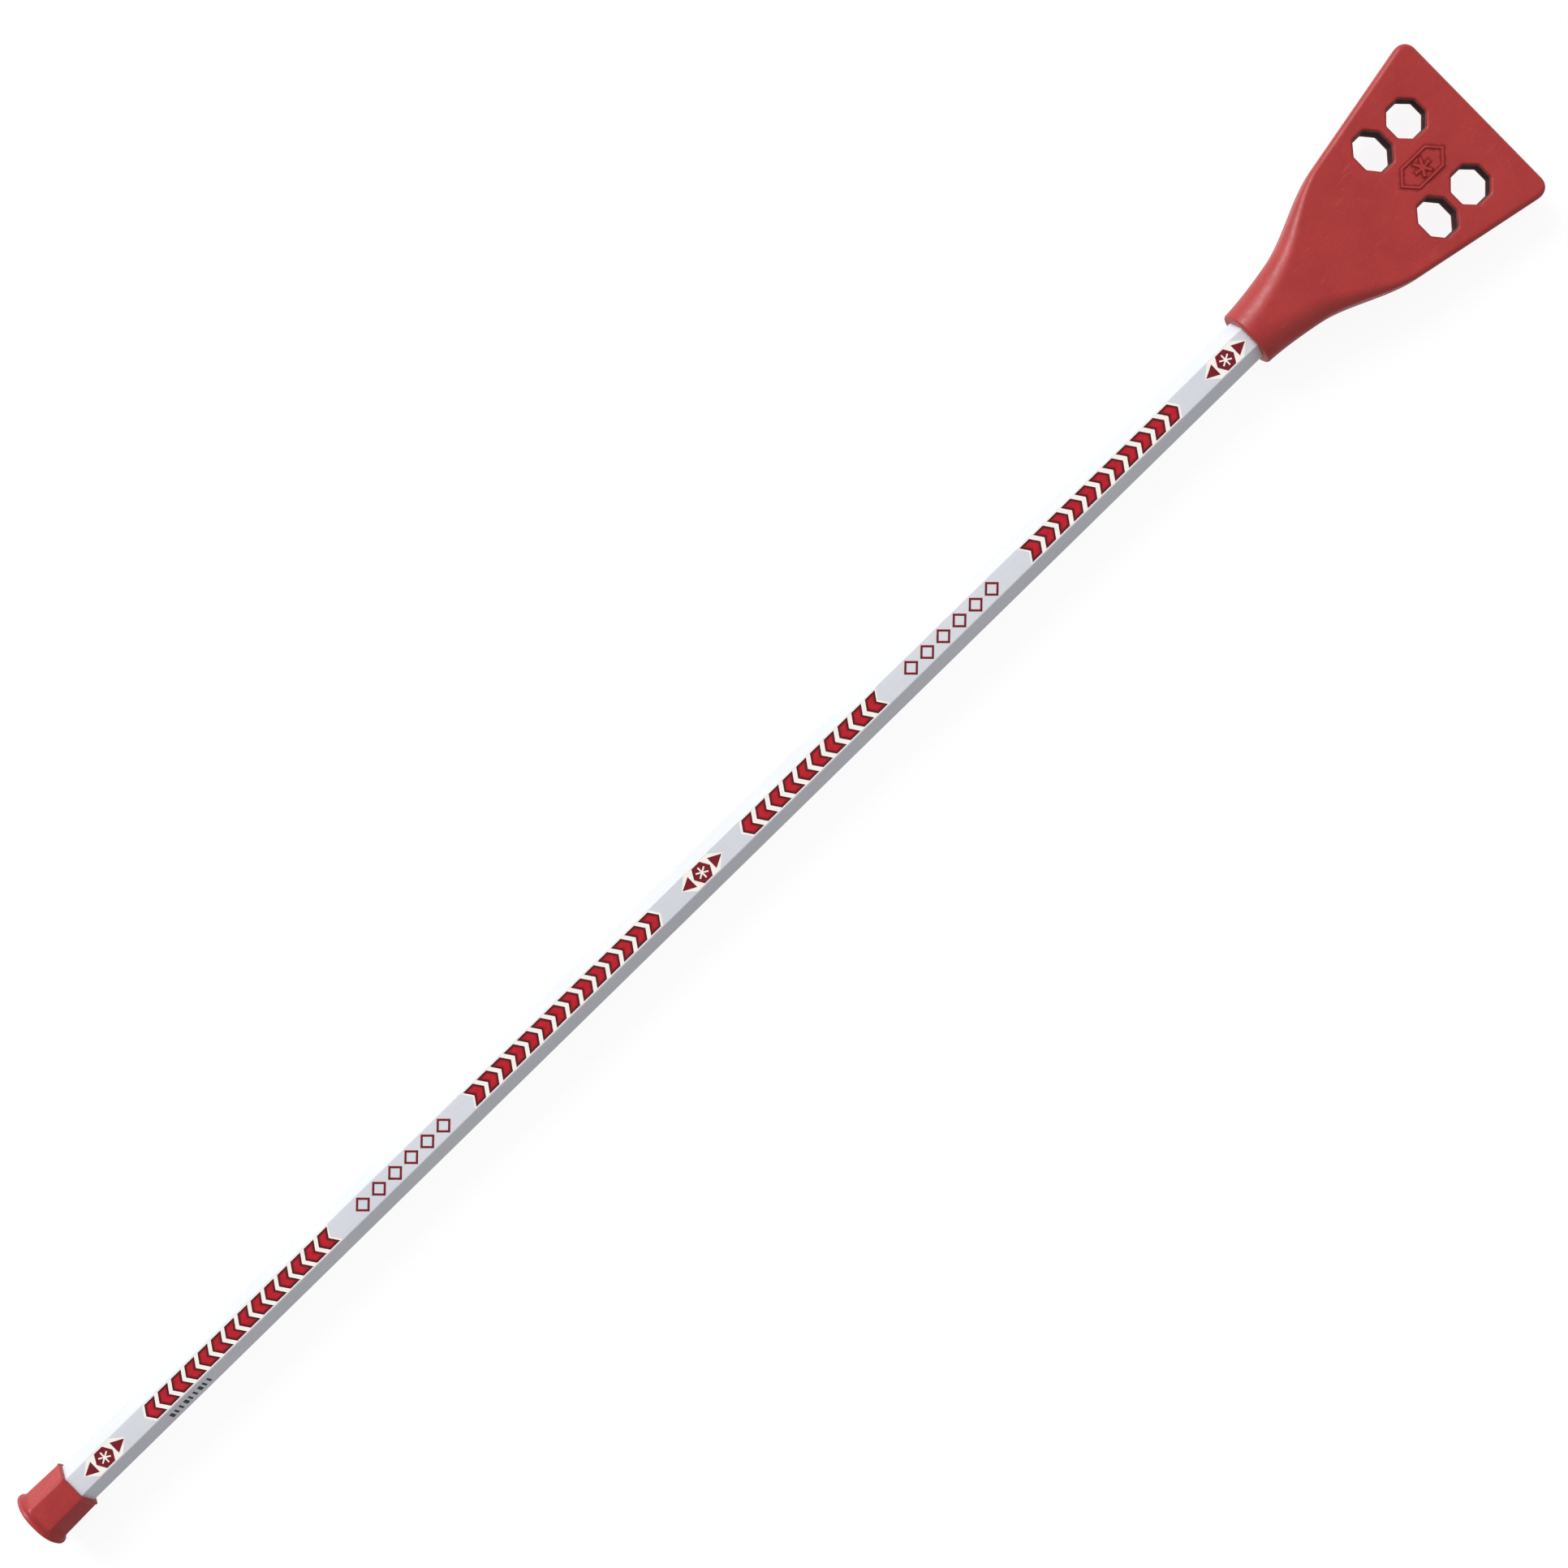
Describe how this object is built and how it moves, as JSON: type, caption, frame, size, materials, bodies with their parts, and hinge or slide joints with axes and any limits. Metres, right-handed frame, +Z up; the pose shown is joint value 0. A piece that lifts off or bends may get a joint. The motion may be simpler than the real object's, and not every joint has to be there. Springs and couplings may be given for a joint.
{
  "type": "broomball stick",
  "caption": "Broomball stick: hexagonal painted tube with a moulded red fan head, octagonal holes through the blade and a pull-off rubber butt cap.",
  "frame": {"origin": "on the ground under the middle of the stick's length, below the shaft's axis", "axes": "+X along the shaft from the butt cap to the head, +Y across the blade, +Z up out of the blade's front face"},
  "size_m": [1.346, 0.139, 0.042],
  "materials": {
    "head_rubber": "satin",
    "cap_rubber": "satin",
    "shaft_paint": "gloss",
    "plug_timber": "matte",
    "screw_steel": "satin",
    "film_cream": "gloss",
    "film_red": "gloss",
    "film_maroon": "gloss",
    "film_grey": "gloss"
  },
  "bodies": {
    "stick": {"head": "head_rubber", "head_screws": "screw_steel", "shaft_plug": "plug_timber", "shaft_tube": "shaft_paint", "emblem_base_butt": "film_cream", "emblem_base_mid": "film_cream", "emblem_base_head": "film_cream", "chevron_base_1": "film_cream", "chevron_base_2": "film_cream", "chevron_base_3": "film_cream", "chevron_base_4": "film_cream", "emblem_print_butt": "film_maroon", "emblem_print_mid": "film_maroon", "emblem_print_head": "film_maroon", "diamond_row_1": "film_maroon", "diamond_row_2": "film_maroon", "chevron_print_1": "film_red", "chevron_print_2": "film_red", "chevron_print_3": "film_red", "chevron_print_4": "film_red", "size_ticks": "film_grey"},
    "cap": {"butt_cap": "cap_rubber"}
  },
  "joints": [
    {"name": "butt_cap_pull", "type": "slide", "parent": "stick", "child": "cap", "axis": [-1, 0, 0], "range_m": [0, 0.045]}
  ]
}
